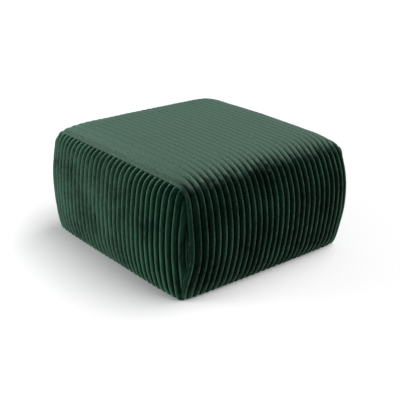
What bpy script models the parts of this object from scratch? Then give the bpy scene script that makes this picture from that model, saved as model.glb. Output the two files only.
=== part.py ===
"""Upholstered pouf in wide-wale corded velvet, modelled at rest on the floor.

A maker sews four pieces: one long strip whose wales run up one side, over the seat and down the other side, two
barrel-sided end panels with upright wales, and a plain base cloth. The strip is modelled as the filled body of
the pouf, and each end panel as a shallow crowned slab that sits in a bevelled recess in the body's end.

Frame: metres, +Z up, origin on the floor under the middle of the seat. The end panels face -Y and +Y, and the
strip's wales lie in planes of constant Y.
"""

import bmesh
import bpy
import numpy as np

# ---------------------------------------------------------------- driving dimensions

WALE_PITCH = 0.0211
WALE_DEPTH = 0.0062
SEWING_GAP = 0.0003
STRIP_WIDTH = 28.7 * WALE_PITCH

# The strip's edge (the seam) and its middle line, from the floor up to the middle of the seat, on the +X half.
# A row is one station of the barrel: the seam's x, y and z, then the middle line's x and z.
STATIONS = (
    # seam x, seam y, seam z, middle x, middle z
    (0.3045, 0.2995, 0.0000, 0.3050, 0.0000),
    (0.3063, 0.3010, 0.0060, 0.3095, 0.0060),
    (0.3104, 0.3030, 0.0200, 0.3205, 0.0200),
    (0.3164, 0.3045, 0.0420, 0.3315, 0.0420),
    (0.3240, 0.3040, 0.0730, 0.3400, 0.0730),
    (0.3310, 0.3023, 0.1055, 0.3460, 0.1055),
    (0.3353, 0.3010, 0.1400, 0.3495, 0.1400),
    (0.3365, 0.3000, 0.1755, 0.3505, 0.1755),
    (0.3345, 0.2990, 0.2110, 0.3480, 0.2110),
    (0.3300, 0.2975, 0.2430, 0.3425, 0.2430),
    (0.3245, 0.2960, 0.2690, 0.3325, 0.2730),
    (0.3172, 0.2950, 0.2900, 0.3185, 0.3015),
    (0.3055, 0.2940, 0.3065, 0.2985, 0.3230),
    (0.2870, 0.2935, 0.3130, 0.2710, 0.3378),
    (0.2550, 0.2935, 0.3155, 0.2380, 0.3448),
    (0.1750, 0.2940, 0.3175, 0.1700, 0.3480),
    (0.0900, 0.2945, 0.3200, 0.0900, 0.3503),
    (0.0000, 0.2950, 0.3210, 0.0000, 0.3510),
)

# The face of an end panel on its own middle line: how far its wales' roots stand from the pouf's middle at each
# height, from the floor to the seam under the rolled top edge.
END_FACE = (
    # height z, distance y
    (0.0000, 0.3015),
    (0.0060, 0.3060),
    (0.0200, 0.3145),
    (0.0420, 0.3220),
    (0.0730, 0.3290),
    (0.1055, 0.3325),
    (0.1755, 0.3340),
    (0.2110, 0.3315),
    (0.2465, 0.3275),
    (0.2690, 0.3235),
    (0.2870, 0.3185),
    (0.3020, 0.3125),
    (0.3130, 0.3045),
    (0.3210, 0.2950),
)
# The panel's rows, as shares of its height, and how much of the wales' depth is left where the seam pulls them in.
END_ROWS = (0.0, 0.02, 0.065, 0.135, 0.235, 0.36, 0.50, 0.64, 0.77, 0.87, 0.94, 0.98, 1.0)
END_SEWN = (1.0, 1.00, 1.000, 1.000, 1.000, 1.00, 1.00, 1.00, 1.00, 1.00, 0.85, 0.40, 0.0)

# How the panels puff up between their seams: the share of the crown that is spread over the whole width, and
# the power that keeps the rest of it full until close to the seam.
SIDE_SPREAD, SIDE_FULLNESS = 0.20, 12.0
SEAT_SPREAD, SEAT_FULLNESS = 0.05, 10.0
END_SPREAD, END_FULLNESS = 0.06, 8.0
# The cloth changes from a side's fullness to the seat's between these heights of the strip's middle line.
SHOULDER_HEIGHT, SEAT_HEIGHT = 0.300, 0.345
# Up to this height the seam stands upright beside the end panel; no column of the panel is lower than the other.
UPRIGHT_SEAM_TOP, LOWEST_TOP = 0.27, 0.29
# How fast an end panel's face runs out to its own edge near the floor and near the top seam.
EDGE_POWER = 6.0
# The middle of the filling, which every outward direction points away from.
FILLING_HEIGHT = 0.12
WIDEST_HEIGHT = 0.1755

# A wale's cross-section: places across one pitch, from valley to valley, and the share of the depth there.
WALE_SECTION = ((0.0, 0.0), (0.27, 1.0), (0.73, 1.0))
# Where the first valley lies, in pitches from the middle of the strip and of each end panel.
STRIP_PHASE, FRONT_PHASE, REAR_PHASE = 0.68, 0.30, 0.85
SMALLEST_STEP, SMALLEST_COLUMN = 0.0022, 0.0012
SECTION_STEPS = 241
CREASE_ANGLE = 0.9

# The bevelled seat of an end panel in the body: its inner outline is this share of the seam's, at this depth.
RECESS_SHARE, PANEL_SHARE = 0.90, 0.875
RECESS_DEPTH, PANEL_BACK = 0.262, 0.265
EDGE_CLEARANCE = 0.0009

BASE_HALF_X, BASE_HALF_Y = 0.270, 0.235
BASE_THICKNESS = 0.0025

VELVET_RGB = (0.030, 0.075, 0.048)
BASE_CLOTH_RGB = (0.015, 0.016, 0.016)


# ---------------------------------------------------------------- scene and materials


def clear_scene():
    """Remove every object, so that the model stands alone."""
    for obj in list(bpy.data.objects):
        bpy.data.objects.remove(obj, do_unlink=True)


def cloth_material(name, rgb, roughness):
    """A dull cloth finish."""
    material = bpy.data.materials.new(name)
    material.use_nodes = True
    shader = material.node_tree.nodes["Principled BSDF"]
    shader.inputs["Base Color"].default_value = (*rgb, 1.0)
    shader.inputs["Roughness"].default_value = roughness
    shader.inputs["Metallic"].default_value = 0.0
    return material


def add_piece(name, bm, material):
    """Turn a finished bmesh into a named, smooth-shaded object with its faces outward."""
    bmesh.ops.recalc_face_normals(bm, faces=bm.faces)
    if bm.calc_volume(signed=True) < 0.0:
        bmesh.ops.reverse_faces(bm, faces=bm.faces)
    mesh = bpy.data.meshes.new(name)
    bm.to_mesh(mesh)
    bm.free()
    mesh.materials.append(material)
    mesh.shade_smooth()
    mesh.set_sharp_from_angle(angle=CREASE_ANGLE)
    piece = bpy.data.objects.new(name, mesh)
    bpy.context.scene.collection.objects.link(piece)
    return piece


# ---------------------------------------------------------------- shared geometry


def barrel_stations():
    """The stations from the floor at -X, over the seat, to the floor at +X, as one array of rows."""
    half = np.array(STATIONS)
    left = half.copy()
    left[:, 0] *= -1.0
    left[:, 3] *= -1.0
    return np.vstack([left, half[-2::-1]])


def puff(share, spread, fullness):
    """How much of the crown is there at a place that is this share of the way from the middle to the seam."""
    share = np.abs(share)
    return spread * (1.0 - share**2) + (1.0 - spread) * (1.0 - share**fullness)


def wale_columns(low, high, phase):
    """Places across a panel where its wales have an edge, and the share of the wale's depth at each.

    The wales keep one pitch from edge to edge. The panel's own two edges are sewn down to the valleys.
    """
    first = int(np.floor(low / WALE_PITCH)) - 1
    last = int(np.ceil(high / WALE_PITCH)) + 1
    places, shares = [low], [0.0]
    for wale in range(first, last + 1):
        for place, share in WALE_SECTION:
            here = (wale + phase + place) * WALE_PITCH
            if low + SMALLEST_STEP < here < high - SMALLEST_STEP:
                places.append(here)
                shares.append(share)
    places.append(high)
    shares.append(0.0)
    return np.array(places), np.array(shares)


def surface_normals(points):
    """Unit normals of a grid of points, from its neighbours along both directions."""
    along = np.gradient(points, axis=0)
    across = np.gradient(points, axis=1)
    normals = np.cross(along, across)
    return normals / np.linalg.norm(normals, axis=2, keepdims=True)


def raise_wales(points, shares, outward):
    """Lift each column of a grid off its valleys, outward, and keep the rows on the floor level."""
    normals = surface_normals(points)
    if np.sum(normals * outward) < 0.0:
        normals = -normals
    on_floor = points[:, :, 2] <= 1e-9
    normals[:, :, 2] = np.where(on_floor, 0.0, normals[:, :, 2])
    return points + normals * (shares * WALE_DEPTH)[None, :, None]


def grid_of(bm, points):
    """A sheet of quads whose vertices stand at a grid of points. Returns the vertices in the same order."""
    rows, columns = points.shape[:2]
    made = bmesh.ops.create_grid(bm, x_segments=rows - 1, y_segments=columns - 1, size=1.0)["verts"]
    ordered = sorted(made, key=lambda vert: (round(vert.co.x, 5), round(vert.co.y, 5)))
    for vert, place in zip(ordered, points.reshape(-1, 3)):
        vert.co = place
    return np.array(ordered, dtype=object).reshape(rows, columns)


def close_flat(bm, loop):
    """Fill a flat loop of vertices with triangles that meet at its middle."""
    middle = np.mean([vert.co for vert in loop], axis=0)
    hub = bm.verts.new(middle)
    for index in range(len(loop)):
        bm.faces.new((loop[index - 1], loop[index], hub))


# ---------------------------------------------------------------- the strip, as the filled body


def strip_section(row):
    """One cross-section of the strip, from seam to seam: its points and the length along it from its middle."""
    seam_x, seam_y, seam_z, middle_x, middle_z = row
    on_seat = np.clip((middle_z - SHOULDER_HEIGHT) / (SEAT_HEIGHT - SHOULDER_HEIGHT), 0.0, 1.0)
    spread = SIDE_SPREAD + (SEAT_SPREAD - SIDE_SPREAD) * on_seat
    fullness = SIDE_FULLNESS + (SEAT_FULLNESS - SIDE_FULLNESS) * on_seat
    turn = np.linspace(-np.pi / 2.0, np.pi / 2.0, SECTION_STEPS)
    share = np.sin(turn)
    lift = puff(share, spread, fullness)
    points = np.stack(
        [seam_x + (middle_x - seam_x) * lift, seam_y * share, seam_z + (middle_z - seam_z) * lift], axis=1
    )
    steps = np.linalg.norm(np.diff(points, axis=0), axis=1)
    length = np.concatenate([[0.0], np.cumsum(steps)])
    return points, length - length[-1] / 2.0


def strip_points():
    """The strip's outer surface as a grid: a row for each station, a column for each wale edge."""
    half = STRIP_WIDTH / 2.0
    places, shares = wale_columns(-half, half, STRIP_PHASE)
    grid = []
    for row in barrel_stations():
        points, length = strip_section(row)
        wanted = places * (length[-1] / half)
        grid.append(np.stack([np.interp(wanted, length, points[:, axis]) for axis in range(3)], axis=1))
    grid = np.array(grid)
    middle = np.array([0.0, 0.0, FILLING_HEIGHT])
    return raise_wales(grid, shares, grid - middle)


def bevel_end(place, share, depth):
    """The inner end of the bevel that starts at this place on the seam."""
    return (place[0] * share, np.sign(place[1]) * depth, place[2] * share)


def build_body(material):
    """The filled body under the strip, with its waled skin, its two bevelled end recesses and its flat base."""
    bm = bmesh.new()
    verts = grid_of(bm, strip_points())
    inner = {}
    for side in (0, -1):
        chain = list(verts[:, side])
        backs = [bm.verts.new(bevel_end(vert.co, RECESS_SHARE, RECESS_DEPTH)) for vert in chain]
        for index in range(len(chain) - 1):
            bm.faces.new((chain[index], chain[index + 1], backs[index + 1], backs[index]))
        close_flat(bm, backs)
        inner[side] = backs

    # The underside: a rim round the shallow seat of the base cloth.
    half_x, half_y = BASE_HALF_X + SEWING_GAP, BASE_HALF_Y + SEWING_GAP
    rims = []
    for row, x in ((0, -half_x), (-1, half_x)):
        edge = list(verts[row, :])
        reach = abs(edge[0].co.y)
        rim = [bm.verts.new((x, half_y * vert.co.y / reach, 0.0)) for vert in edge]
        for index in range(len(edge) - 1):
            bm.faces.new((edge[index], edge[index + 1], rim[index + 1], rim[index]))
        for end in (0, -1):
            bm.faces.new((edge[end], inner[end][row], rim[end]))
        rims.append(rim)
    for end in (0, -1):
        bm.faces.new((inner[end][0], inner[end][-1], rims[1][end], rims[0][end]))
    loop = [*rims[0], *reversed(rims[1])]
    seat = [bm.verts.new((vert.co.x, vert.co.y, BASE_THICKNESS + SEWING_GAP)) for vert in loop]
    for index in range(len(loop)):
        bm.faces.new((loop[index - 1], loop[index], seat[index], seat[index - 1]))
    close_flat(bm, seat)
    return add_piece("wrap_panel", bm, material)


# ---------------------------------------------------------------- the end panels


def seam_outline():
    """The seam seen from the end: its x, y and z from the floor to the middle of the seat, on the +X half."""
    half = np.array(STATIONS)
    return half[:, 0], half[:, 1], half[:, 2]


def panel_reach(distance):
    """Where an end panel ends in the upright plane at this distance from its middle.

    Gives its lowest and its highest z, then how far its edge stands from the pouf's middle at each.
    """
    x, y, z = seam_outline()
    widest = int(np.argmax(x))
    high = np.interp(distance, x[widest:][::-1], z[widest:][::-1])
    high_edge = np.interp(distance, x[widest:][::-1], y[widest:][::-1])
    if distance <= x[0]:
        return 0.0, high, end_face_point(distance, 0.0, high), high_edge
    low = np.interp(distance, x[: widest + 1], z[: widest + 1])
    low_edge = np.interp(distance, x[: widest + 1], y[: widest + 1])
    return low, high, low_edge, high_edge


def end_face_point(x, z, top):
    """The root of a wale on an end panel: its distance from the pouf's middle, puffed up inside the seam."""
    seam_x, seam_y, seam_z = seam_outline()
    sides = seam_z < UPRIGHT_SEAM_TOP
    half_width = np.interp(z, seam_z[sides], seam_x[sides])
    edge = np.interp(z, seam_z, seam_y)
    height, distance = np.array(END_FACE).T
    full_top = seam_z[-1]
    middle = np.interp(z * full_top / max(top, LOWEST_TOP), height, distance)
    share = min(abs(x) / half_width, 1.0)
    return edge + (middle - edge) * puff(share, END_SPREAD, END_FULLNESS)


def flat_places(places):
    """Turn lengths along the panel's middle section into distances x, because the cloth bends round its edges."""
    widest = max(row[0] for row in STATIONS)
    x = np.linspace(0.0, widest, SECTION_STEPS)
    y = np.array([end_face_point(value, WIDEST_HEIGHT, STATIONS[-1][2]) for value in x])
    length = np.concatenate([[0.0], np.cumsum(np.hypot(np.diff(x), np.diff(y)))])
    return np.sign(places) * np.interp(np.abs(places), length, x), length[-1]


def end_points(phase):
    """The face of an end panel as a grid: a column for each wale edge, a row for each height, facing -Y."""
    _, half_length = flat_places(np.zeros(1))
    places, shares = wale_columns(-half_length, half_length, phase)
    columns, _ = flat_places(places)
    widest_column = max(row[0] for row in STATIONS) - EDGE_CLEARANCE
    columns[[0, -1]] = -widest_column, widest_column
    clear = np.abs(columns) < widest_column - SMALLEST_COLUMN
    clear[[0, -1]] = True
    columns, shares = columns[clear], shares[clear]
    grid = np.zeros((len(END_ROWS), len(columns), 3))
    for index, x in enumerate(columns):
        low, high, low_edge, high_edge = panel_reach(abs(x))
        low_miss = low_edge - end_face_point(x, low, high)
        high_miss = high_edge - end_face_point(x, high, high)
        for row, share in enumerate(END_ROWS):
            z = low + (high - low) * share
            y = end_face_point(x, z, high) + low_miss * (1.0 - share) ** EDGE_POWER + high_miss * share**EDGE_POWER
            grid[row, index] = (x, -y, z)
    raised = raise_wales(grid, shares, np.array([0.0, -1.0, 0.0]))
    return grid + (raised - grid) * np.array(END_SEWN)[:, None, None]


def build_end(name, side, phase, material):
    """One end panel: a crowned, waled face on a bevelled slab. side is -1 for the front and +1 for the rear."""
    points = end_points(phase)
    edge = np.zeros(points.shape[:2], dtype=bool)
    edge[-1, :] = edge[:, 0] = edge[:, -1] = True
    inward = np.stack([points[:, :, 0], np.zeros_like(edge, dtype=float), points[:, :, 2] - FILLING_HEIGHT], axis=2)
    inward /= np.linalg.norm(inward, axis=2, keepdims=True) + 1e-12
    inward[:, :, 2] = np.where(points[:, :, 2] <= 1e-9, 0.0, inward[:, :, 2])
    points = points - inward * edge[:, :, None] * EDGE_CLEARANCE
    points[:, :, 1] *= -side

    bm = bmesh.new()
    verts = grid_of(bm, points)
    loop = [*verts[0, :], *verts[1:, -1], *verts[-1, -2::-1], *verts[-2:0:-1, 0]]
    backs = [bm.verts.new(bevel_end(vert.co, PANEL_SHARE, PANEL_BACK)) for vert in loop]
    for index in range(len(loop)):
        after = (index + 1) % len(loop)
        bm.faces.new((loop[index], loop[after], backs[after], backs[index]))
    close_flat(bm, backs)
    return add_piece(name, bm, material)


# ---------------------------------------------------------------- the base cloth


def build_base(material):
    """The plain cloth that closes the underside and lies on the floor."""
    bm = bmesh.new()
    bmesh.ops.create_cube(bm, size=1.0)
    bmesh.ops.scale(bm, vec=(2.0 * BASE_HALF_X, 2.0 * BASE_HALF_Y, BASE_THICKNESS), verts=bm.verts)
    bmesh.ops.translate(bm, vec=(0.0, 0.0, BASE_THICKNESS / 2.0), verts=bm.verts)
    return add_piece("base_panel", bm, material)


def main():
    """Build the four pieces of the pouf."""
    clear_scene()
    velvet = cloth_material("corded velvet", VELVET_RGB, 0.9)
    base_cloth = cloth_material("base cloth", BASE_CLOTH_RGB, 0.95)
    build_body(velvet)
    build_end("end_panel_front", -1, FRONT_PHASE, velvet)
    build_end("end_panel_rear", 1, REAR_PHASE, velvet)
    build_base(base_cloth)


main()
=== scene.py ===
"""Looks of an upholstered pouf in wide-wale corded velvet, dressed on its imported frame.

The pouf is sewn from four pieces. A long strip of corded velvet runs up one side, over the seat and
down the other side. Two barrel-sided end panels with upright cords close its ends, and a plain base
cloth closes its underside.

Frame: metres, +Z up, origin on the floor under the middle of the seat. The ends face -Y and +Y.
"""

from __future__ import annotations

import logging
from dataclasses import dataclass, field
from enum import Enum
from functools import cached_property, partial

import bmesh
import bpy
import numpy as np
from bmesh.types import BMEdge, BMesh, BMVert
from bpy.types import Material, Node, NodeSocket, NodeTree, Object
from mathutils import Matrix, Vector, noise

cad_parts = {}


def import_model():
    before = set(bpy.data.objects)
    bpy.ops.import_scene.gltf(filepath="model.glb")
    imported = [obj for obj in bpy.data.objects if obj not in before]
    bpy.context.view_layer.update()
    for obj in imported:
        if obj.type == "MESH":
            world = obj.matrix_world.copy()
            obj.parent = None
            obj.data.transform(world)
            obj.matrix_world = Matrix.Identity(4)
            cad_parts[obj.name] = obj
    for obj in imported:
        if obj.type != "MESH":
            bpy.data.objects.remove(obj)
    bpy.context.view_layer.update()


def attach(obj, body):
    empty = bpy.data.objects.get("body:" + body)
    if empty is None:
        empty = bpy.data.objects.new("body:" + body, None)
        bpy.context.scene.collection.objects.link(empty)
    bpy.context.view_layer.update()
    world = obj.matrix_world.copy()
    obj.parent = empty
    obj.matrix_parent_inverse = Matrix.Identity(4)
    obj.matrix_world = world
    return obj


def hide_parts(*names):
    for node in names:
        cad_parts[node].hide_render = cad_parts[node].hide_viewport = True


LOG = logging.getLogger("pouf")
MM = 0.001
Array = np.ndarray
Triple = tuple[float, float, float]
Range = tuple[float, float, float, float]
# The unit vectors along x, y and z.
ACROSS, AWAY, UP = np.eye(3)

# A mix node's sockets: its factor, the two numbers or two colours that it mixes, its mixed colour.
FACTOR, NUMBER_A, NUMBER_B, COLOUR_A, COLOUR_B, MIXED_COLOUR = 0, 2, 3, 6, 7, 2
RANGE = ("From Min", "From Max", "To Min", "To Max")

# The barrel of the pouf on the +X half, from just above the floor to the middle of the seat. A row
# is a station: the seam's x, y and z, then the x and z of the strip's middle line, all at the roots
# of the cords.
STATIONS = (
    # seam x, seam y, seam z, middle x, middle z
    (0.3045, 0.3008, 0.0095, 0.3125, 0.0095),
    (0.3075, 0.3030, 0.0200, 0.3205, 0.0200),
    (0.3125, 0.3035, 0.0420, 0.3315, 0.0420),
    (0.3210, 0.3015, 0.0730, 0.3400, 0.0730),
    (0.3300, 0.2998, 0.1055, 0.3460, 0.1055),
    (0.3350, 0.2998, 0.1400, 0.3495, 0.1400),
    (0.3355, 0.3005, 0.1755, 0.3505, 0.1755),
    (0.3320, 0.3012, 0.2110, 0.3480, 0.2110),
    (0.3265, 0.3005, 0.2430, 0.3425, 0.2430),
    (0.3208, 0.2993, 0.2690, 0.3325, 0.2730),
    (0.3138, 0.2980, 0.2912, 0.3185, 0.3015),
    (0.3030, 0.2965, 0.3080, 0.2985, 0.3230),
    (0.2870, 0.2960, 0.3150, 0.2710, 0.3378),
    (0.2550, 0.2960, 0.3175, 0.2380, 0.3448),
    (0.1750, 0.2963, 0.3182, 0.1700, 0.3480),
    (0.0900, 0.2968, 0.3190, 0.0900, 0.3503),
    (0.0000, 0.2972, 0.3200, 0.0000, 0.3510),
)

# The face of an end panel on its own middle line, from just above the floor to the seam under the
# rolled edge.
END_FACE = (
    # height z, distance y
    (0.0095, 0.3085),
    (0.0200, 0.3145),
    (0.0420, 0.3220),
    (0.0730, 0.3290),
    (0.1055, 0.3325),
    (0.1755, 0.3340),
    (0.2110, 0.3328),
    (0.2465, 0.3298),
    (0.2690, 0.3272),
    (0.2880, 0.3232),
    (0.3035, 0.3162),
    (0.3135, 0.3070),
    (0.3200, 0.2972),
)


# ---------------- small tools


def linear(hex_colour: str) -> tuple[float, float, float, float]:
    """Turn an sRGB hex colour into linear red, green, blue and alpha.

    Args:
        hex_colour: Six hex digits after a hash sign.

    Returns:
        The four linear values, with alpha 1.
    """
    shares = [int(hex_colour[place : place + 2], 16) / 255.0 for place in (1, 3, 5)]
    red, green, blue = (
        share / 12.92 if share <= 0.04045 else ((share + 0.055) / 1.055) ** 2.4 for share in shares
    )
    return red, green, blue, 1.0


def add_node(
    tree: NodeTree,
    kind: str,
    values: dict | None = None,
    links: dict | None = None,
    stops: tuple = (),
    **settings: object,
) -> Node:
    """Add one node with its settings, values and links.

    Args:
        tree: The material's node tree.
        kind: Blender's name for the node type.
        values: Input sockets and the constants set on them.
        links: Input sockets and what feeds them: an output socket, or a node's first one.
        stops: Places and colours of a colour ramp.
        **settings: The node's own properties.

    Returns:
        The new node.
    """
    node = tree.nodes.new(kind)
    for name, value in settings.items():
        setattr(node, name, value)
    for socket, value in (values or {}).items():
        node.inputs[socket].default_value = value
    for socket, source in (links or {}).items():
        output = source.outputs[0] if isinstance(source, Node) else source
        tree.links.new(output, node.inputs[socket])
    for index, (place, colour) in enumerate(stops):
        elements = node.color_ramp.elements
        element = elements[index] if index < 2 else elements.new(place)
        element.position = place
        element.color = colour
    return node


def ramp(values: Array, start: float, stop: float) -> Array:
    """Give the share of the way from start to stop, held at 0 before it and at 1 past it."""
    return np.clip((values - start) / (stop - start), 0.0, 1.0)


def ease(share: Array) -> Array:
    """Soften both ends of a rise from 0 to 1."""
    return share * share * (3.0 - 2.0 * share)


def unit(vectors: Array) -> Array:
    """Bring vectors along the last axis to length 1."""
    return vectors / np.linalg.norm(vectors, axis=-1, keepdims=True)


def arc_lengths(points: Array) -> Array:
    """Give the length from the first row of points to each row."""
    steps = np.linalg.norm(np.diff(points, axis=0), axis=-1)
    return np.concatenate([np.zeros((1, *steps.shape[1:])), np.cumsum(steps, axis=0)])


def smooth_table(table: tuple, count: int, along: tuple[int, int]) -> Array:
    """Run a smooth curve through the rows of a table.

    Args:
        table: Rows of numbers.
        count: How many rows are wanted, evenly spaced by length along the curve.
        along: The columns whose length sets how far apart the rows are.

    Returns:
        The smoothed rows, from the table's first to its last.
    """
    rows = np.array(table)
    knots = arc_lengths(rows[:, list(along)])
    slopes = np.gradient(rows, knots, axis=0)
    wanted = np.linspace(0.0, 1.0, count) * knots[-1]
    index = np.clip(np.searchsorted(knots, wanted, side="right") - 1, 0, len(knots) - 2)
    span = (knots[index + 1] - knots[index])[:, None]
    t = (wanted - knots[index])[:, None] / span
    start, end = rows[index], rows[index + 1]
    leave, arrive = slopes[index] * span, slopes[index + 1] * span
    return (
        (2 * t**3 - 3 * t**2 + 1) * start
        + (t**3 - 2 * t**2 + t) * leave
        + (3 * t**2 - 2 * t**3) * end
        + (t**3 - t**2) * arrive
    )


def surface_normals(points: Array, outward: Array) -> Array:
    """Give the unit normals of a grid of points.

    Args:
        points: A grid of places, rows by columns by 3.
        outward: Rough directions away from the filling, in the same shape.

    Returns:
        The normals, all on the outward side.
    """
    normals = np.cross(np.gradient(points, axis=0), np.gradient(points, axis=1))
    # A tiny length keeps folded rows, which have no normal, from dividing by zero.
    normals /= np.linalg.norm(normals, axis=2, keepdims=True) + 1e-12
    return normals * np.sign(np.sum(normals * outward))


# ---------------- the cloth and its seams


@dataclass(frozen=True)
class Drift:
    """Slow, even variation over a surface, set by its size in metres and by its seed."""

    size: float
    seed: float
    # How far the seed moves the pattern along each axis.
    spread: Triple = (1.0, 1.7, 2.3)

    def over(self, places: Array) -> Array:
        """Read the variation at places on or in the cloth.

        Args:
            places: Places in any shape with a last axis of 3.

        Returns:
            One value from -1 to 1 for each place.
        """
        shift = Vector([self.seed * share for share in self.spread])
        flat = (places / self.size).reshape(-1, 3)
        values = [noise.noise(Vector(place) + shift) for place in flat]
        return np.array(values).reshape(places.shape[:-1])


@dataclass(frozen=True)
class CordedCloth:
    """Velvet woven with wide raised cords, measured in metres.

    Its cords keep one pitch and one depth over the whole pouf, and are flattened half rounds with a
    tight valley between them.
    """

    pitch: float = 0.0211
    depth: float = 0.0066
    crest_power: float = 2.1
    flank_power: float = 0.68
    # Where the mesh has columns across a cord, closest together in the valley.
    columns: tuple = (0, 0.03, 0.08, 0.16, 0.26, 0.38, 0.5, 0.62, 0.74, 0.84, 0.92, 0.97)
    narrowest: float = 0.0005

    def places(self, half_width: float, phase: float) -> tuple[Array, Array]:
        """Choose where the columns of a panel's mesh stand.

        Args:
            half_width: Half of the panel's flat width.
            phase: Where a valley lies, in pitches from the panel's middle.

        Returns:
            The columns' places along the flat cloth, and across their own cord from 0 to 1.
        """
        reach = int(np.ceil(half_width / self.pitch)) + 1
        cords = np.arange(-reach, reach + 1)[:, None] + phase + np.array(self.columns)[None, :]
        places = cords.ravel() * self.pitch
        places = places[np.abs(places) < half_width - self.narrowest]
        places = np.concatenate([[-half_width], places, [half_width]])
        return places, (places / self.pitch - phase) % 1.0

    def raised(self, across: Array) -> Array:
        """Give the share of the depth at places across a cord."""
        return (1.0 - np.abs(2.0 * across - 1.0) ** self.crest_power) ** self.flank_power


@dataclass(frozen=True)
class Seam:
    """A seam that pulls two panels together: how near it the cords sink and the cloth dips."""

    cord_fade: float = 0.0045
    # The cloth is painted dark, as painted shade, within this distance of the seam.
    seam_shade_reach: float = 0.003
    dip: float = 0.0032
    dip_reach: float = 0.010
    # How deep the rows of the seam allowance lie.
    fold: tuple[float, ...] = (0.003, 0.009)
    # The allowance folds towards the middle of the filling, with its own rise close to the floor.
    fold_pull: Triple = (-0.85, -0.45, -0.55)
    fold_rise: float = 0.12
    low_height: float = 0.03
    low_rise: float = 0.10

    def fade(self, distance: Array, reach: float) -> Array:
        """Give the share of a form left at a distance from the seam, rounded like a fingertip."""
        return np.sqrt(1.0 - (1.0 - ramp(distance, 0.0, reach)) ** 2)

    def sink(self, distance: Array) -> Array:
        """Give how far the cloth dips at a distance from the seam."""
        return self.dip * (1.0 - ramp(distance, 0.0, self.dip_reach)) ** 2

    def inward(self, line: Array) -> Array:
        """Give the directions in which the seam allowance folds in.

        Args:
            line: Places along the panel's edge.

        Returns:
            A unit vector for each place.
        """
        towards = line * np.array(self.fold_pull) + self.fold_rise * UP
        towards[..., 2] = np.where(line[..., 2] < self.low_height, self.low_rise, towards[..., 2])
        return unit(towards)

    def allowance(self, line: Array) -> list[Array]:
        """Give the rows of the seam allowance, from the places along an edge inwards."""
        return [line + self.inward(line) * depth for depth in self.fold]


@dataclass(frozen=True)
class Underside:
    """How the velvet is turned under where the pouf meets the floor."""

    radius: float = 0.0065
    root_height: float = 0.0040
    depth_share: float = 0.55
    # The rows of the turn, as shares of a quarter turn, and the rows that then run inwards.
    turns: tuple[float, ...] = (0.2, 0.4, 0.6, 0.8, 1.0)
    runs: tuple[float, ...] = (0.008, 0.020, 0.036)
    # Where the corner's mitre begins and is whole, from the panel's middle, and its longest pull.
    mitre_from: float = 0.235
    mitre_to: float = 0.300
    longest_mitre: float = 0.036
    # The closed backs of the pieces stay above this height.
    back_height: float = 0.008

    def mitre(self, places: Array) -> Array:
        """Give how far places along the foot are drawn into the mitre, from 0 to 1."""
        return ramp(np.abs(places), self.mitre_from, self.mitre_to) ** 2


@dataclass(frozen=True)
class Unevenness:
    """How the filled cloth strays from its even form."""

    depth_share: float = 0.07
    wobble: float = 0.0007
    depths: Drift = Drift(0.09, 1.0)
    swells: Drift = Drift(0.06, 5.0)
    sways: Drift = Drift(0.05, 9.0)
    # The cloth lies free of its seams beyond this distance.
    free_from: float = 0.03


@dataclass(frozen=True)
class Barrel:
    """The filled form that all panels follow: its puff between the seams."""

    # How much of the puff is a round rise, and how full the rest stays towards the seam.
    side_puff: tuple[float, float] = (0.20, 12.0)
    seat_puff: tuple[float, float] = (0.05, 12.5)
    end_puff: tuple[float, float] = (0.06, 7.2)
    shoulder_height: float = 0.300
    seat_height: float = 0.345
    filling_height: float = 0.12
    outline_steps: int = 400

    def puff(self, share: Array, spread: float, fullness: float) -> Array:
        """Give the share of the crown at places from the middle, 0, to the seam, 1."""
        share = np.abs(share)
        return spread * (1.0 - share**2) + (1.0 - spread) * (1.0 - share**fullness)

    def rows(self, count: int) -> Array:
        """Give smoothed stations from the floor at -X to the floor at +X, count to each half."""
        half = smooth_table(STATIONS, count, along=(3, 4))
        return np.vstack([half * np.array([-1.0, 1.0, 1.0, -1.0, 1.0]), half[-2::-1]])

    @cached_property
    def outline(self) -> Array:
        """Give the seam's x, y and z on the +X half, from the floor to the middle of the seat."""
        return smooth_table(STATIONS, self.outline_steps, along=(0, 2))[:, :3]

    @cached_property
    def middle_line(self) -> Array:
        """Give the heights and distances of the middle line of an end panel."""
        return smooth_table(END_FACE, self.outline_steps, along=(0, 1))


# ---------------- meshes


def sheet_mesh(bm: BMesh, grid: Array, marks: dict[str, Array]) -> Array:
    """Lay a sheet of quads over a grid of places.

    Args:
        bm: The mesh that the sheet is added to.
        grid: Places, rows by columns by 3.
        marks: Named values for each place, kept on the vertices.

    Returns:
        The vertices, rows by columns.
    """
    layers = {name: bm.verts.layers.float.new(name) for name in marks}
    rows, columns = grid.shape[:2]
    made = bmesh.ops.create_grid(bm, x_segments=rows - 1, y_segments=columns - 1, size=1.0)["verts"]
    made.sort(key=lambda vert: (round(vert.co.x, 5), round(vert.co.y, 5)))
    for vert, place in zip(made, grid.reshape(-1, 3)):
        vert.co = place
    for name, layer in layers.items():
        for vert, value in zip(made, marks[name].ravel()):
            vert[layer] = value
    return np.array(made, dtype=object).reshape(rows, columns)


def fill_flat(bm: BMesh, loop: list) -> None:
    """Close a flat loop of vertices with one face, adding the edges it lacks.

    Args:
        bm: The mesh that holds the loop.
        loop: The vertices in order.
    """
    pairs = [(loop[index - 1], loop[index]) for index in range(len(loop))]
    edges = [bm.edges.get(pair) or bm.edges.new(pair) for pair in pairs]
    bmesh.ops.contextual_create(bm, geom=edges)


def finish_piece(name: str, bm: BMesh, material: Material) -> Object:
    """Turn a mesh into a smooth piece of the scene.

    Args:
        name: The piece's name.
        bm: Its mesh, which is used up.
        material: Its finish.

    Returns:
        The piece.
    """
    mesh = bpy.data.meshes.new(name)
    bm.to_mesh(mesh)
    bm.free()
    mesh.materials.append(material)
    mesh.shade_smooth()
    piece = bpy.data.objects.new(name, mesh)
    bpy.context.scene.collection.objects.link(piece)
    return piece


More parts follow.
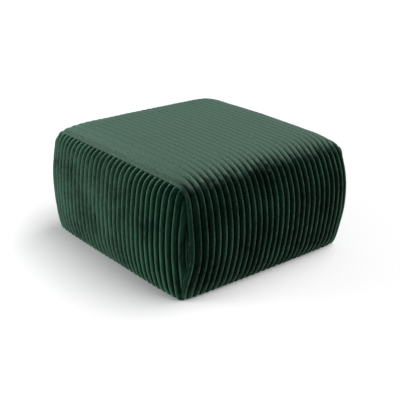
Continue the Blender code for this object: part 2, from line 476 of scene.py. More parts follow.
def finish_cover(name: str, bm: BMesh, material: Material) -> Object:
    """Turn a closed mesh into a piece with its cloth coordinates in metres as a UV map.

    Args:
        name: The piece's name.
        bm: Its closed mesh, which is used up.
        material: Its finish.

    Returns:
        The piece.
    """
    bmesh.ops.recalc_face_normals(bm, faces=bm.faces)
    if bm.calc_volume(signed=True) < 0.0:
        bmesh.ops.reverse_faces(bm, faces=bm.faces)
    piece = finish_piece(name, bm, material)
    mesh = piece.data
    corners = np.empty(len(mesh.loops), dtype=np.int32)
    mesh.loops.foreach_get("vertex_index", corners)
    cloth = np.zeros((len(corners), 2))
    for axis, mark in enumerate(("weft", "warp")):
        values = np.empty(len(mesh.vertices))
        mesh.attributes[mark].data.foreach_get("value", values)
        cloth[:, axis] = values[corners]
    mesh.uv_layers.new(name="cloth").uv.foreach_set("vector", cloth.ravel())
    return piece


# ---------------- finishes


def new_material(name: str) -> tuple[Material, partial]:
    """Make a material without nodes.

    Args:
        name: The real material's name.

    Returns:
        The material, and the function that adds a node to it.
    """
    material = bpy.data.materials.new(name)
    material.use_nodes = True
    material.node_tree.nodes.clear()
    return material, partial(add_node, material.node_tree)


@dataclass(frozen=True)
class CordedVelvetFinish:
    """Cotton-rich corded velvet: a matt pile that takes light at its edges, with painted shade in
    its valleys.

    The pile stands on end, so it looks darkest straight on and shows a soft pale rim where it turns
    away. Handling brushes it into lighter and darker patches that lie along the cords.
    """

    name: str = "corded velvet, bottle green"
    crest: str = "#072116"
    flank: str = "#04190F"
    valley: str = "#030F09"
    # How raised the cloth is where it has the valley's, the flank's and the crest's colour. The
    # darker valleys and flanks are painted shade.
    shaded_at: Triple = (0.30, 0.60, 0.90)
    # The paler colour painted for worn pile and for the light on the seat and the far side of the
    # ends.
    worn_and_lit: str = "#495E53"
    roughness: float = 0.92
    specular: float = 0.03
    sheen_tint: str = "#8DC6A9"
    sheen_roughness: float = 0.45
    # Each range gives two values and what they become. The sheen rises as the pile turns away, and
    # from the valleys to the crests, which paints shade into the valleys.
    rim: Range = (0.22, 0.34, 0.03, 1.0)
    lifting: Range = (0.15, 0.7, 0.2, 1.0)
    # Worn pile, and pile painted lit, lies flat and sheens evenly, with this weight once the mark
    # of wear and light reaches this share.
    even_sheen: float = 0.22
    flat_when: float = 0.30
    # How light the sides of the strip are painted, in colour and sheen, against the ends: painted
    # shade on the sides, where the pile leans downwards.
    side_shading: float = 0.33
    # Brushed patches: their size across and along the cords, and that of the handled areas.
    patch_across_mm: float = 8.0
    patch_along_mm: float = 17.0
    handling_mm: float = 120.0
    brushing: Range = (0.75, 1.25, 0.4, 1.6)
    # The pile's tufts are under 1 mm; they are drawn 5 mm wide so that they show.
    tuft_mm: float = 5.0
    tuft_depth_mm: float = 0.5
    tuft_strength: float = 0.6
    tufting: Range = (0.3, 0.7, 0.6, 1.4)

    def build(self) -> Material:
        """Make the material.

        Returns:
            The material, which reads the marks of the cords' painted shade, of wear and painted
            light, and of the sides' painted shade, and the UV map cloth.
        """
        material, add = new_material(self.name)
        cord, worn, nap = (
            add("ShaderNodeAttribute", attribute_name=mark).outputs["Fac"]
            for mark in ("cord", "worn_and_lit", "nap")
        )
        tufts, tone_and_shading, sheen = self._pile(add, cord, worn, nap)
        # Painted shade: the valleys and flanks are coloured darker than the crests.
        colours = [linear(colour) for colour in (self.valley, self.flank, self.crest)]
        shaded_cords = add("ShaderNodeValToRGB", {}, {"Fac": cord}, tuple(zip(self.shaded_at, colours)))
        # The seat and the far side of the ends are painted paler, for wear and for the light on
        # them.
        fade, links = {COLOUR_B: linear(self.worn_and_lit)}, {FACTOR: worn, COLOUR_A: shaded_cords}
        faded = add("ShaderNodeMix", fade, links, data_type="RGBA")
        links = {"Vector": faded.outputs[MIXED_COLOUR], "Scale": tone_and_shading}
        colour = add("ShaderNodeVectorMath", {}, links, operation="SCALE")
        relief = {"Strength": self.tuft_strength, "Distance": self.tuft_depth_mm * MM}
        bump = add("ShaderNodeBump", relief, {"Height": tufts})
        shader = add(
            "ShaderNodeBsdfPrincipled",
            {
                "Roughness": self.roughness,
                "Specular IOR Level": self.specular,
                "Sheen Roughness": self.sheen_roughness,
                "Sheen Tint": linear(self.sheen_tint),
            },
            {"Base Color": colour, "Sheen Weight": sheen, "Normal": bump},
        )
        add("ShaderNodeOutputMaterial", links={"Surface": shader})
        return material

    def _pile(
        self, add: partial, cord: NodeSocket, worn: NodeSocket, nap: NodeSocket
    ) -> tuple[Node, Node, Node]:
        """Work out how the brushed pile takes light.

        Args:
            add: The function that adds a node.
            cord: How raised the cloth is, darkened in the valleys and by the seams as painted
                shade.
            worn: How far the pile is painted paler, for wear and for the light on the seat and the
                far side of the ends.
            nap: How upright the pile stands, from lying downwards on the sides, painted in
                shade, 0, to upright, 1.

        Returns:
            The tufts, how much lighter or darker the colour looks, with the sides' painted shade,
            and the weight of the sheen.
        """
        cloth = add("ShaderNodeUVMap", uv_map="cloth")
        stretch = (1.0 / (self.patch_across_mm * MM), 1.0 / (self.patch_along_mm * MM), 1.0)
        stretched = add("ShaderNodeMapping", {"Scale": stretch}, {"Vector": cloth})
        patches, handling, tufts = (
            add(
                "ShaderNodeTexNoise",
                {"Scale": scale, "Detail": detail, "Roughness": roughness},
                {"Vector": place},
            )
            for place, scale, detail, roughness in (
                (stretched, 1.0, 3.0, 0.6),
                (cloth, 1.0 / (self.handling_mm * MM), 1.5, 0.5),
                (cloth, 1.0 / (self.tuft_mm * MM), 2.0, 0.7),
            )
        )
        mixed = add("ShaderNodeMath", links={0: patches, 1: handling}, operation="ADD")
        turned = add("ShaderNodeLayerWeight", {"Blend": 0.5}).outputs["Facing"]
        brushing, tufting, side_shading, lifting, rim, flat = (
            add(
                "ShaderNodeMapRange",
                dict(zip(RANGE, limits)),
                {"Value": source},
                interpolation_type="SMOOTHSTEP" if source is turned else "LINEAR",
            )
            for source, limits in (
                (mixed, self.brushing),
                (tufts, self.tufting),
                (nap, (0.0, 1.0, self.side_shading, 1.0)),
                (cord, self.lifting),
                (turned, self.rim),
                (worn, (0.0, self.flat_when, 0.0, 1.0)),
            )
        )
        # Pile painted paler, for wear and light, no longer shows the brushed patches.
        links = {FACTOR: worn, NUMBER_A: brushing}
        tone_and_shading = add("ShaderNodeMix", {NUMBER_B: 1.0}, links, data_type="FLOAT")
        # Painted shade: the sides of the strip are darkened in colour and in sheen.
        for factor in (tufting, side_shading):
            tone_and_shading = add("ShaderNodeMath", links={0: tone_and_shading, 1: factor}, operation="MULTIPLY")
        sheen = tone_and_shading
        for factor in (lifting, rim):
            links = {0: sheen, 1: factor}
            sheen = add("ShaderNodeMath", {}, links, operation="MULTIPLY", use_clamp=factor is rim)
        links = {FACTOR: flat, NUMBER_A: sheen}
        weight = add("ShaderNodeMix", {NUMBER_B: self.even_sheen}, links, data_type="FLOAT")
        return tufts, tone_and_shading, weight


@dataclass(frozen=True)
class BaseClothFinish:
    """Black spun-bonded base cloth: dull, thin and slightly pebbled."""

    name: str = "spun-bonded base cloth, black"
    colour: str = "#1B1C1C"
    worn: str = "#2A2B2B"
    roughness: float = 0.95
    specular: float = 0.2
    pebble_mm: float = 2.0
    pebble_depth_mm: float = 0.2
    pebble_strength: float = 0.4

    def build(self) -> Material:
        """Make the material.

        Returns:
            The material.
        """
        material, add = new_material(self.name)
        place = add("ShaderNodeTexCoord").outputs["Object"]
        scale = 1.0 / (self.pebble_mm * MM)
        pebbles = add("ShaderNodeTexVoronoi", {"Scale": scale}, {"Vector": place})
        shades = {COLOUR_A: linear(self.colour), COLOUR_B: linear(self.worn)}
        colour = add("ShaderNodeMix", shades, {FACTOR: pebbles}, data_type="RGBA")
        relief = {"Strength": self.pebble_strength, "Distance": self.pebble_depth_mm * MM}
        bump = add("ShaderNodeBump", relief, {"Height": pebbles})
        gloss = {"Roughness": self.roughness, "Specular IOR Level": self.specular}
        links = {"Base Color": colour.outputs[MIXED_COLOUR], "Normal": bump}
        shader = add("ShaderNodeBsdfPrincipled", gloss, links)
        add("ShaderNodeOutputMaterial", links={"Surface": shader})
        return material


# ---------------- the pouf's pieces


class PanelEnd(Enum):
    """The two ends of the pouf, by the sign of the y that they face."""

    FRONT = -1
    REAR = 1


@dataclass
class CordedCover:
    """What the velvet covers share: the cloth, its seams and the form that it follows."""

    cloth: CordedCloth
    seam: Seam
    form: Barrel
    under: Underside
    uneven: Unevenness

    def raise_cloth(
        self, roots: Array, normals: Array, relief: Array, swell: Array, sway: Array, read_at: Array
    ) -> tuple[Array, Array]:
        """Stand the cords on their roots, a little unevenly.

        Args:
            roots: A grid of places.
            normals: Its normals.
            relief: How far the even cords stand off the roots, by row and column.
            swell: How far the even cloth swells or dips, by row and column.
            sway: How far the cloth may stray sideways there, as vectors along it.
            read_at: Where its unevenness is read.

        Returns:
            The finished places, and how far the cords stand off the roots.
        """
        uneven = self.uneven
        relief = relief * (1.0 + uneven.depth_share * uneven.depths.over(read_at))
        swell = uneven.wobble * uneven.swells.over(read_at) + swell
        points = roots + normals * (relief + swell)[:, :, None]
        return points + uneven.wobble * uneven.sways.over(read_at)[:, :, None] * sway, relief

    def quarter_turn(
        self, roots: Array, normals: Array, relief: Array, inwards: Array
    ) -> list[Array]:
        """Roll the cloth under the pouf.

        Args:
            roots: The lowest row of roots.
            normals: Its normals.
            relief: How far the cords stand off the roots there.
            inwards: The direction in which the cloth runs under the pouf.

        Returns:
            Rows of finished places, one for each step of the turn.
        """
        under = self.under
        flat = unit(normals * (ACROSS + AWAY))
        drop = roots[:, 2] - under.root_height
        rows = []
        for turn in under.turns:
            angle = turn * np.pi / 2.0
            root = roots + inwards * under.radius * (1.0 - np.cos(angle))
            root[:, 2] -= drop * np.sin(angle)
            facing = flat * np.cos(angle) - UP * np.sin(angle)
            height = relief * (1.0 + (under.depth_share - 1.0) * turn)
            rows.append(root + facing * height[:, None])
        return rows

    def run_under(self, turned: Array, inwards: Array, run: float) -> Array:
        """Give the row that lies a run further under the pouf, drawn in along its foot."""
        outwards = (ACROSS + AWAY - np.abs(inwards)) * np.sign(turned) * self.under.mitre(turned)
        return turned + inwards * run - outwards * min(run, self.under.longest_mitre)

    def fold_edges(self, points: Array) -> Array:
        """Give a grid with its seam allowance folded in beyond the first and last columns."""
        first, last = (self.seam.allowance(points[:, edge]) for edge in (0, -1))
        return np.stack([*first[::-1], *points.swapaxes(0, 1), *last], axis=1)

    def set_back(self, verts: list, share: float, distance: float) -> None:
        """Move the closed back of a piece into the filling.

        Args:
            verts: The back's vertices, still in the piece's edge.
            share: How much of its height and width the back keeps.
            distance: The y at which it lies.
        """
        for vert in verts:
            vert.co.x *= share
            vert.co.z = max(vert.co.z * share, self.under.back_height)
            vert.co.y = distance


@dataclass
class StripCover(CordedCover):
    """The long strip of corded velvet over the filled body.

    Its cords run up the -X side, over the seat and down the +X side, so each cord lies in a plane
    of constant y except where the strip is drawn in with the barrel.
    """

    cord_count: float = 28.7
    phase: float = 0.35
    half_rows: int = 84
    section_steps: int = 321
    # The closed backs of the strip's ends: their share of its section, and their y.
    recess_share: float = 0.90
    recess_depth: float = 0.2615
    # The seat's cords are pulled flatter than the sides', between these heights of the middle line.
    seat_share: float = 0.2
    flat_from: float = 0.325
    flat_to: float = 0.349
    # The seat's pile is painted paler, for wear and for the light that falls on it, from between
    # these heights up. The edge strays by this much.
    pale_from: float = 0.305
    pale_to: float = 0.332
    ragged: float = 0.012
    rags: Drift = Drift(0.013, 17.0)
    # How much of their painted shade the valleys keep where the sides' cords are painted paler.
    valley_shade: float = 0.75
    # Beside the seams the pile stands upright, out of the sides' painted shade, and is painted a
    # little paler all the way down. On the seat it is painted less pale there, as painted shade,
    # from this much higher up.
    beside_seam: float = 0.018
    beside_pale: float = 0.03
    beside_shade: float = 0.3
    beside_drop: float = 0.006
    # The sides' pile stands up, and their painted shade eases, by this share between these heights
    # of the middle line, so they are darker towards the foot.
    shade_ease: float = 0.2
    shade_ease_from: float = 0.10
    shade_ease_to: float = 0.28

    width: float = field(init=False)
    places: Array = field(init=False)
    raised: Array = field(init=False)
    from_seam: Array = field(init=False)

    def __post_init__(self) -> None:
        """Work out the flat width, and each column's place, relief and distance from a seam."""
        self.width = self.cord_count * self.cloth.pitch
        self.places, across = self.cloth.places(self.width / 2.0, self.phase)
        self.raised = self.cloth.raised(across)
        self.from_seam = self.width / 2.0 - np.abs(self.places)

    def kept_depth(self, heights: Array) -> Array:
        """Give the share of their depth that the cords keep at heights of the middle line."""
        return 1.0 - (1.0 - self.seat_share) * ease(ramp(heights, self.flat_from, self.flat_to))

    def roots(self) -> Array:
        """Lay the cords' roots over the barrel.

        Returns:
            A grid of places, a row for each station.
        """
        form = self.form
        side, seat = np.array(form.side_puff), np.array(form.seat_puff)
        share = np.sin(np.linspace(-np.pi / 2.0, np.pi / 2.0, self.section_steps))
        grid = []
        for seam_x, seam_y, seam_z, middle_x, middle_z in form.rows(self.half_rows):
            on_seat = ramp(middle_z, form.shoulder_height, form.seat_height)
            lift = form.puff(share, *(side + (seat - side) * on_seat))
            x = seam_x + (middle_x - seam_x) * lift
            z = seam_z + (middle_z - seam_z) * lift
            points = np.stack([x, seam_y * share, z], axis=1)
            length = arc_lengths(points)
            wanted = (self.places / self.width + 0.5) * length[-1]
            columns = [np.interp(wanted, length, points[:, axis]) for axis in range(3)]
            grid.append(np.stack(columns, axis=1))
        return np.array(grid)

    def surface(self) -> Array:
        """Work out the strip's finished surface.

        Returns:
            A grid of places, from under the pouf at -X, over the seat, to under it at +X.
        """
        depth, seam, from_seam = self.cloth.depth, self.seam, self.from_seam
        roots = self.roots()
        normals = surface_normals(roots, roots - self.form.filling_height * UP)
        kept = self.kept_depth(self.form.rows(self.half_rows)[:, 4:])
        free = seam.fade(from_seam, self.uneven.free_from)
        relief = self.raised * seam.fade(from_seam, seam.cord_fade) * depth * kept
        swell = (1.0 - kept) * depth * free - seam.sink(from_seam) * kept
        sway = free[None, :, None] * AWAY
        points, relief = self.raise_cloth(roots, normals, relief, swell, sway, roots)
        ends = []
        for end, inwards in ((0, ACROSS), (-1, -ACROSS)):
            turned = self.quarter_turn(roots[end], normals[end], relief[end], inwards)
            runs = [self.run_under(turned[-1], inwards, run) for run in self.under.runs]
            ends.append(turned + runs)
        left, right = ends
        return np.array([*left[::-1], *points, *right])

    def marks(self, points: Array) -> dict[str, Array]:
        """Work out what the finish reads at each place.

        Args:
            points: The finished surface.

        Returns:
            How raised the pile is, with painted shade in its valleys and by the seams, how far it
            is painted paler for wear and light, how upright it is out of the sides' painted shade,
            and the cloth's own coordinates.
        """
        stations = self.form.rows(self.half_rows)
        rim = (len(points) - len(stations)) // 2
        heights = np.pad(stations[:, 4], rim, mode="edge")[:, None]
        kept = self.kept_depth(heights)
        # Painted shade in the valleys and close to the seams.
        cord = self.raised * self.seam.fade(self.from_seam, self.seam.seam_shade_reach)
        beside = np.exp(-((self.from_seam / self.beside_seam) ** 2))

        # The seat is painted paler for wear and for the light on it; the side valleys keep their
        # painted shade, and the band beside the seam on the seat is painted in shade.
        edge = heights - self.beside_drop * beside + self.ragged * self.rags.over(points)
        worn_and_lit = ease(ramp(edge, self.pale_from, self.pale_to))
        worn_and_lit *= 1.0 - self.valley_shade * (1.0 - cord**2) * kept**2
        worn_and_lit *= 1.0 - self.beside_shade * beside
        # The sides' painted shade eases upwards and beside the seams.
        upright = self.shade_ease * ramp(heights, self.shade_ease_from, self.shade_ease_to)
        nap = np.maximum(np.maximum(worn_and_lit, beside), upright)

        flat = np.zeros(worn_and_lit.shape)
        marks = {
            "warp": flat + arc_lengths(points[:, len(self.places) // 2])[:, None],
            "weft": flat + self.places,
            "worn_and_lit": np.maximum(worn_and_lit, self.beside_pale * beside),
            "nap": nap,
        }
        extra = ((0, 0), (len(self.seam.fold),) * 2)
        marks = {name: np.pad(values, extra, mode="edge") for name, values in marks.items()}
        marks["cord"] = np.pad(1.0 - (1.0 - cord) * kept, extra)
        return marks

    def build(self, material: Material) -> Object:
        """Make the strip as one closed, filled piece.

        Args:
            material: Its finish.

        Returns:
            The piece.
        """
        points = self.surface()
        bm = bmesh.new()
        verts = sheet_mesh(bm, self.fold_edges(points), self.marks(points))
        backs = []
        for edge, side in ((0, -1.0), (-1, 1.0)):
            chain = list(verts[:, edge])
            edges = [bm.edges.get(pair) for pair in zip(chain, chain[1:])]
            grown = bmesh.ops.extrude_edge_only(bm, edges=edges)["geom"]
            copies = {tuple(v.co): v for v in grown if isinstance(v, BMVert)}
            back = [copies[tuple(vert.co)] for vert in chain]
            self.set_back(back, self.recess_share, side * self.recess_depth)
            fill_flat(bm, back)
            backs.append(back)
        front, rear = backs
        fill_flat(bm, [front[0], *verts[0, :], rear[0], rear[-1], *verts[-1, ::-1], front[-1]])
        return finish_cover("wrap_cover", bm, material)


@dataclass
class EndCover(CordedCover):
    """A barrel-sided end panel with upright cords, as a crowned slab sewn into the strip.

    Its cords keep their pitch, so the outermost ones are cut off by the bulging seam and taper to a
    point both ways. It is worked out facing -Y, and turned to its own end at the last.
    """

    name: str
    end: PanelEnd
    phase: float
    rows: int = 74
    # The share of the rows' spacing that is even. The rest crowds them at the foot and the top.
    even_rows: float = 0.35
    width_steps: int = 600
    # How closely the pull of the seam keeps to the edge, and how far short of it the columns end.
    edge_power: float = 6.0
    clearance: float = 0.0006
    # The seam counts as upright up to the first height, no column's top counts as lower than the
    # second, and the cords' pitch is measured across the panel at the third.
    upright_top: float = 0.27
    lowest_top: float = 0.29
    widest_height: float = 0.1755
    # The slab's closed back: its share of the panel's height and width, and its distance.
    back_share: float = 0.88
    back_depth: float = 0.235
    # Under the pouf: how far the last row runs, over what height the cut-off cords pass from the
    # floor into the seam, and what share of each run they make there.
    last_run: float = 0.066
    seam_rise: float = 0.006
    seam_run: float = 0.5
    # The cords run blunt into the seam, which hardly dips, above these heights of it, and there the
    # seam's painted shade is mostly lifted, as painted light on the tips.
    tips_from: float = 0.300
    tips_to: float = 0.313
    tips_undipped: float = 0.95
    tip_light_lift: float = 0.8
    # The pile is crushed in patches, which pales its valleys, and it is painted paler towards the
    # far
    # side as painted light: from none at the first x to its share at the second, and less within
    # the clear distance of the seam. The patches swing about their base and are twice as tall as
    # wide.
    # Crushed and lit pile counts as painted paler by the last share.
    lit_crush_from: float = 0.24
    lit_crush_to: float = -0.06
    crush_clear: float = 0.07
    crushed: float = 0.6
    crush_base: float = 0.9
    crush_swing: float = 0.45
    crush_stretch: Triple = (1.0, 1.0, 0.5)
    crush_patches: Drift = Drift(0.014, 13.0)
    flattened: float = 0.34

    def face(self, x: Array, z: Array, top: Array) -> Array:
        """Give the distance of the cords' roots from the pouf's middle plane.

        Args:
            x: Places across the panel.
            z: Their heights.
            top: The height of the seam above each place.

        Returns:
            The distances, without the pull of the seam at the top and the foot.
        """
        seam_x, seam_y, seam_z = self.form.outline.T
        upright = seam_z < self.upright_top
        half_width = np.interp(z, seam_z[upright], seam_x[upright])
        edge = np.interp(z, seam_z, seam_y)
        height, distance = self.form.middle_line.T
        middle = np.interp(z * seam_z[-1] / np.maximum(top, self.lowest_top), height, distance)
        share = np.minimum(np.abs(x) / half_width, 1.0)
        puff = self.form.puff(share, *self.form.end_puff)
        return edge + (middle - edge) * puff

    def columns(self) -> tuple[Array, Array, Array]:
        """Choose the panel's columns.

        Returns:
            Their x, their places along the flat cloth, and their places across their own cord.
        """
        seam_x, _, seam_z = self.form.outline.T
        x = np.linspace(0.0, seam_x.max() - self.clearance, self.width_steps)
        y = self.face(x, np.full_like(x, self.widest_height), np.full_like(x, seam_z[-1]))
        length = arc_lengths(np.stack([x, y], axis=1))
        places, across = self.cloth.places(length[-1], self.phase)
        return np.sign(places) * np.interp(np.abs(places), length, x), places, across

    def roots(self, columns: Array) -> Array:
        """Lay the cords' roots over the crowned panel.

        Args:
            columns: The x of each column.

        Returns:
            A grid of places, a row for each share of the height from the foot to the top seam.
        """
        outline = self.form.outline
        widest = int(np.argmax(outline[:, 0]))
        reach = np.abs(columns)
        low_x, low_y, low_z = outline[: widest + 1].T
        high_x, high_y, high_z = outline[widest:][::-1].T
        low, high = np.interp(reach, low_x, low_z), np.interp(reach, high_x, high_z)
        low_face = self.face(columns, low, high)
        low_miss = np.where(reach <= low_x[0], 0.0, np.interp(reach, low_x, low_y) - low_face)
        high_miss = np.interp(reach, high_x, high_y) - self.face(columns, high, high)
        even = np.linspace(0.0, 1.0, self.rows)
        crowded = (1.0 - np.cos(np.pi * even)) / 2.0
        grid = []
        for share in self.even_rows * even + (1.0 - self.even_rows) * crowded:
            z = low + (high - low) * share
            pull = low_miss * (1.0 - share) ** self.edge_power + high_miss * share**self.edge_power
            grid.append(np.stack([columns, -(self.face(columns, z, high) + pull), z], axis=1))
        return np.array(grid)

    def seam_distance(self, roots: Array) -> tuple[Array, Array]:
        """Measure how far the cloth is from the seam.

        Args:
            roots: The grid of roots.

        Returns:
            The distances, and the heights of the nearest places on the seam.
        """
        places = np.abs(roots)
        distance = np.full(places.shape[:2], np.inf)
        height = np.zeros(places.shape[:2])
        for spot in self.form.outline:
            here = np.linalg.norm(places - spot, axis=-1)
            nearer = here < distance
            distance[nearer] = here[nearer]
            height[nearer] = spot[2]
        return distance, height

    def crush(self, roots: Array, distance: Array) -> Array:
        """Work out how far the pile is crushed, and painted paler towards the far side as painted
        light.

        Args:
            roots: The grid of roots.
            distance: How far each place is from the seam, close to which nothing is crushed.

        Returns:
            A share for each place.
        """
        # Painted light: the far side is painted paler, in patches.
        share = ease(ramp(roots[:, :, 0], self.lit_crush_from, self.lit_crush_to))
        drift = self.crush_patches.over(roots * np.array(self.crush_stretch))
        patches = self.crush_base + self.crush_swing * drift
        crushed = np.clip(self.crushed * share * patches, 0.0, 1.0)
        return crushed * self.seam.fade(distance, self.crush_clear)

    def turn_under(self, roots: Array, normals: Array, relief: Array, start: Array) -> list[Array]:
        """Carry the lowest row under the pouf, and the cut-off cords' lower ends into the seam.

        Args:
            roots: The lowest row of roots.
            normals: Its normals.
            relief: How far the cords stand off the roots there.
            start: The lowest row of finished places.

        Returns:
            Rows of finished places, from the floor inwards.
        """
        under, floor = self.under, STATIONS[0][2]
        turned = self.quarter_turn(roots, normals, relief, AWAY)
        in_seam = ramp(roots[:, 2], floor, floor + self.seam_rise)[:, None]
        fold = self.seam.inward(start)
        rows = [
            row * (1.0 - in_seam) + (start + fold * turn * self.seam.fold[-1]) * in_seam
            for row, turn in zip(turned, under.turns)
        ]
        last = rows[-1]
        for run in (*under.runs, self.last_run):
            row = self.run_under(last, AWAY, run)
            rows.append(row * (1.0 - in_seam) + (last + fold * run * self.seam_run) * in_seam)
        return rows

    def build(self, material: Material) -> Object:
        """Make the panel as one closed, filled slab.

        Args:
            material: Its finish.

        Returns:
            The piece.
        """
        seam = self.seam
        columns, places, across = self.columns()
        roots = self.roots(columns)
        normals = surface_normals(roots, -AWAY)
        distance, seam_height = self.seam_distance(roots)
        tip = ramp(seam_height, self.tips_from, self.tips_to)
        raised = self.cloth.raised(across)[None, :]
        relief = raised * seam.fade(distance, seam.cord_fade) * self.cloth.depth
        swell = -seam.sink(distance) * (1.0 - self.tips_undipped * tip)
        free = seam.fade(distance, self.uneven.free_from)
        # The two ends are read far apart, so that they stray differently.
        read_at = roots + self.end.value * 2.0 * AWAY
        sway = free[:, :, None] * ACROSS
        points, relief = self.raise_cloth(roots, normals, relief, swell, sway, read_at)
        below = self.turn_under(roots[0], normals[0], relief[0], points[0])
        above = seam.allowance(points[-1])
        points = self.fold_edges(np.array([*below[::-1], *points, *above]))

        crushed = self.crush(roots, distance)
        # Painted shade close to the seam, mostly lifted on the tips, and paled where the pile is
        # crushed and painted lit.
        in_seam_shade = 1.0 - seam.fade(distance, seam.seam_shade_reach)
        shade = raised * (1.0 - in_seam_shade * (1.0 - self.tip_light_lift * tip))
        shade = 1.0 - (1.0 - shade) * (1.0 - crushed)
        row_pad, column_pad = (len(below), len(above)), (len(seam.fold),) * 2
        shade = np.pad(np.pad(shade, (row_pad, (0, 0)), mode="edge"), ((0, 0), column_pad))
        weft = np.pad(places, column_pad, mode="edge") + self.end.value
        marks = {
            "cord": shade,
            "warp": arc_lengths(points),
            "weft": np.zeros(shade.shape) + weft,
            "worn_and_lit": np.pad(crushed, (row_pad, column_pad), mode="edge") * self.flattened,
            # The ends carry none of the sides' painted shade.
            "nap": np.ones_like(shade),
        }
        points[:, :, 1] *= -self.end.value

        bm = bmesh.new()
        verts = sheet_mesh(bm, points, marks)
        loop = [*verts[0, :], *verts[1:, -1], *verts[-1, -2::-1], *verts[-2:0:-1, 0]]
        edges = [bm.edges.get((loop[index - 1], loop[index])) for index in range(len(loop))]
        grown = bmesh.ops.extrude_edge_only(bm, edges=edges)["geom"]
        back = [element for element in grown if isinstance(element, BMVert)]
        self.set_back(back, self.back_share, self.end.value * self.back_depth)
        rim = [element for element in grown if isinstance(element, BMEdge)]
        bmesh.ops.contextual_create(bm, geom=rim)
        return finish_cover(self.name, bm, material)


@dataclass
class BaseCloth:
    """The thin black cloth that closes the underside, with a narrow hem all round."""

    half_x: float = 0.270
    half_y: float = 0.235
    thickness: float = 0.0012
    hem: float = 0.012
    # Inside the hem the cloth lies this uneven, in waves of this size.
    slack: float = 0.0009
    wave_size: float = 0.05
    wave_seed: float = 3.0
    steps_x: int = 90
    steps_y: int = 78
    # Edges that turn by more than this, in radians, look sharp.
    sharp_angle: float = 0.7

    def build(self, material: Material) -> Object:
        """Make the cloth, lying on the floor.

        Args:
            material: Its finish.

        Returns:
            The piece.
        """
        bm = bmesh.new()
        bmesh.ops.create_grid(bm, x_segments=self.steps_x, y_segments=self.steps_y, size=1.0)
        for vert in bm.verts:
            vert.co.x *= self.half_x
            vert.co.y *= self.half_y
            from_edge = min(self.half_x - abs(vert.co.x), self.half_y - abs(vert.co.y))
            inside = min(max((from_edge - self.hem) / self.hem, 0.0), 1.0)
            read_at = Vector((vert.co.x, vert.co.y, self.wave_seed)) / self.wave_size
            vert.co.z = self.slack * inside * (0.5 + 0.5 * noise.noise(read_at))
        bmesh.ops.recalc_face_normals(bm, faces=bm.faces)
        if sum(face.normal.z for face in bm.faces) > 0.0:
            bmesh.ops.reverse_faces(bm, faces=bm.faces)
        bmesh.ops.solidify(bm, geom=list(bm.faces), thickness=self.thickness)
        lowest = min(vert.co.z for vert in bm.verts)
        bmesh.ops.translate(bm, vec=(0.0, 0.0, -lowest), verts=bm.verts)
        piece = finish_piece("base_cloth", bm, material)
        piece.data.set_sharp_from_angle(angle=self.sharp_angle)
        return piece


# ---------------- the studio


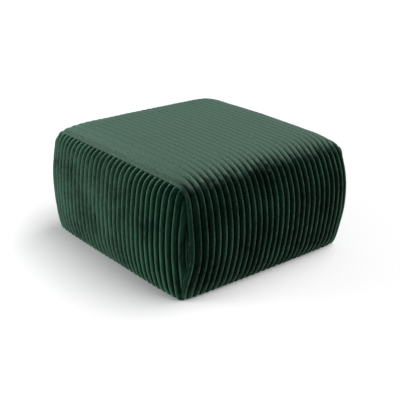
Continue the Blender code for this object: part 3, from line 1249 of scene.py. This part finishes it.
@dataclass(frozen=True)
class Studio:
    """A plain pale floor, soft lamps and the camera."""

    floor_half: float = 40.0
    floor_colour: str = "#F4F4F4"
    sky_strength: float = 0.34
    # The large soft light comes from above and behind.
    sun_from: Triple = (0.52, 0.80, 0.86)
    sun_softness_deg: float = 85.0
    sun_strength: float = 3.7
    # The low softbox lights the front end panel from its side.
    softbox_place: Triple = (-0.80, -1.60, 0.28)
    softbox_target: Triple = (-0.1, -0.3, 0.16)
    softbox_size: tuple[float, float] = (1.0, 0.4)
    softbox_watts: float = 31.0
    lens: float = 74.64
    sensor_width: float = 36.0
    camera_place: Triple = (1.8271, -1.5240, 1.1013)
    camera_right: Triple = (0.6387, 0.7693, 0.0173)
    camera_up: Triple = (-0.3040, 0.2317, 0.9240)

    def build(self) -> None:
        """Set up the floor, the sky, the lamps and the camera."""
        scene = bpy.context.scene
        scene.view_settings.view_transform = "Standard"
        self._lay_floor()
        self._hang_lamps()
        world = bpy.data.worlds.new("studio sky")
        world.use_nodes = True
        background = world.node_tree.nodes["Background"]
        background.inputs["Color"].default_value = (1.0, 1.0, 1.0, 1.0)
        background.inputs["Strength"].default_value = self.sky_strength
        scene.world = world
        self._stand_camera()

    def _lay_floor(self) -> None:
        """Lay the floor just under the pouf."""
        paint, add = new_material("matt white board")
        colour = linear(self.floor_colour)
        values = {"Base Color": colour, "Roughness": 1.0, "Specular IOR Level": 0.0}
        shader = add("ShaderNodeBsdfPrincipled", values)
        add("ShaderNodeOutputMaterial", links={"Surface": shader})
        bm = bmesh.new()
        bmesh.ops.create_grid(bm, x_segments=1, y_segments=1, size=self.floor_half)
        floor = finish_piece("studio_floor", bm, paint)

    def _hang_lamps(self) -> None:
        """Hang the sun and the softbox."""
        sun = bpy.data.lights.new("overhead_diffuser", "SUN")
        sun.energy = self.sun_strength
        sun.angle = np.radians(self.sun_softness_deg)
        box = bpy.data.lights.new("low_softbox", "AREA")
        box.shape = "RECTANGLE"
        box.size, box.size_y = self.softbox_size
        box.energy = self.softbox_watts
        place = Vector(self.softbox_place)
        for data, stand, direction in (
            (sun, Vector(), -Vector(self.sun_from)),
            (box, place, Vector(self.softbox_target) - place),
        ):
            lamp = bpy.data.objects.new(data.name, data)
            lamp.location = stand
            lamp.rotation_euler = direction.to_track_quat("-Z", "Y").to_euler()
            lamp.visible_camera = False
            bpy.context.scene.collection.objects.link(lamp)

    def _stand_camera(self) -> None:
        """Stand the camera where it sees the front corner and the seat."""
        data = bpy.data.cameras.new("camera")
        data.lens = self.lens
        data.sensor_width = self.sensor_width
        camera = bpy.data.objects.new("camera", data)
        right = Vector(self.camera_right).normalized()
        up = Vector(self.camera_up)
        up = (up - up.dot(right) * right).normalized()
        back = right.cross(up)
        turn = Matrix((right, up, back)).transposed().to_4x4()
        camera.matrix_world = Matrix.Translation(self.camera_place) @ turn
        bpy.context.scene.collection.objects.link(camera)
        bpy.context.scene.camera = camera


# ---------------- assembly


def main() -> None:
    """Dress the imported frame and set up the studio."""
    logging.basicConfig(level=logging.INFO, format="%(name)s: %(message)s")
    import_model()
    velvet = CordedVelvetFinish().build()
    base_finish = BaseClothFinish().build()
    shared = (CordedCloth(), Seam(), Barrel(), Underside(), Unevenness())

    covers = (
        (StripCover(*shared), "wrap_panel"),
        (EndCover(*shared, "end_cover_front", PanelEnd.FRONT, phase=0.68), "end_panel_front"),
        (EndCover(*shared, "end_cover_rear", PanelEnd.REAR, phase=0.85), "end_panel_rear"),
    )
    for cover, node in covers:
        piece = cover.build(velvet)
        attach(piece, "root")
        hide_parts(node)
        LOG.info("%s: %d faces", piece.name, len(piece.data.polygons))

    base = BaseCloth()
    piece = base.build(base_finish)
    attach(piece, "root")
    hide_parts("base_panel")
    LOG.info("%s: %d faces", piece.name, len(piece.data.polygons))

    Studio().build()


if __name__ == "__main__":
    main()
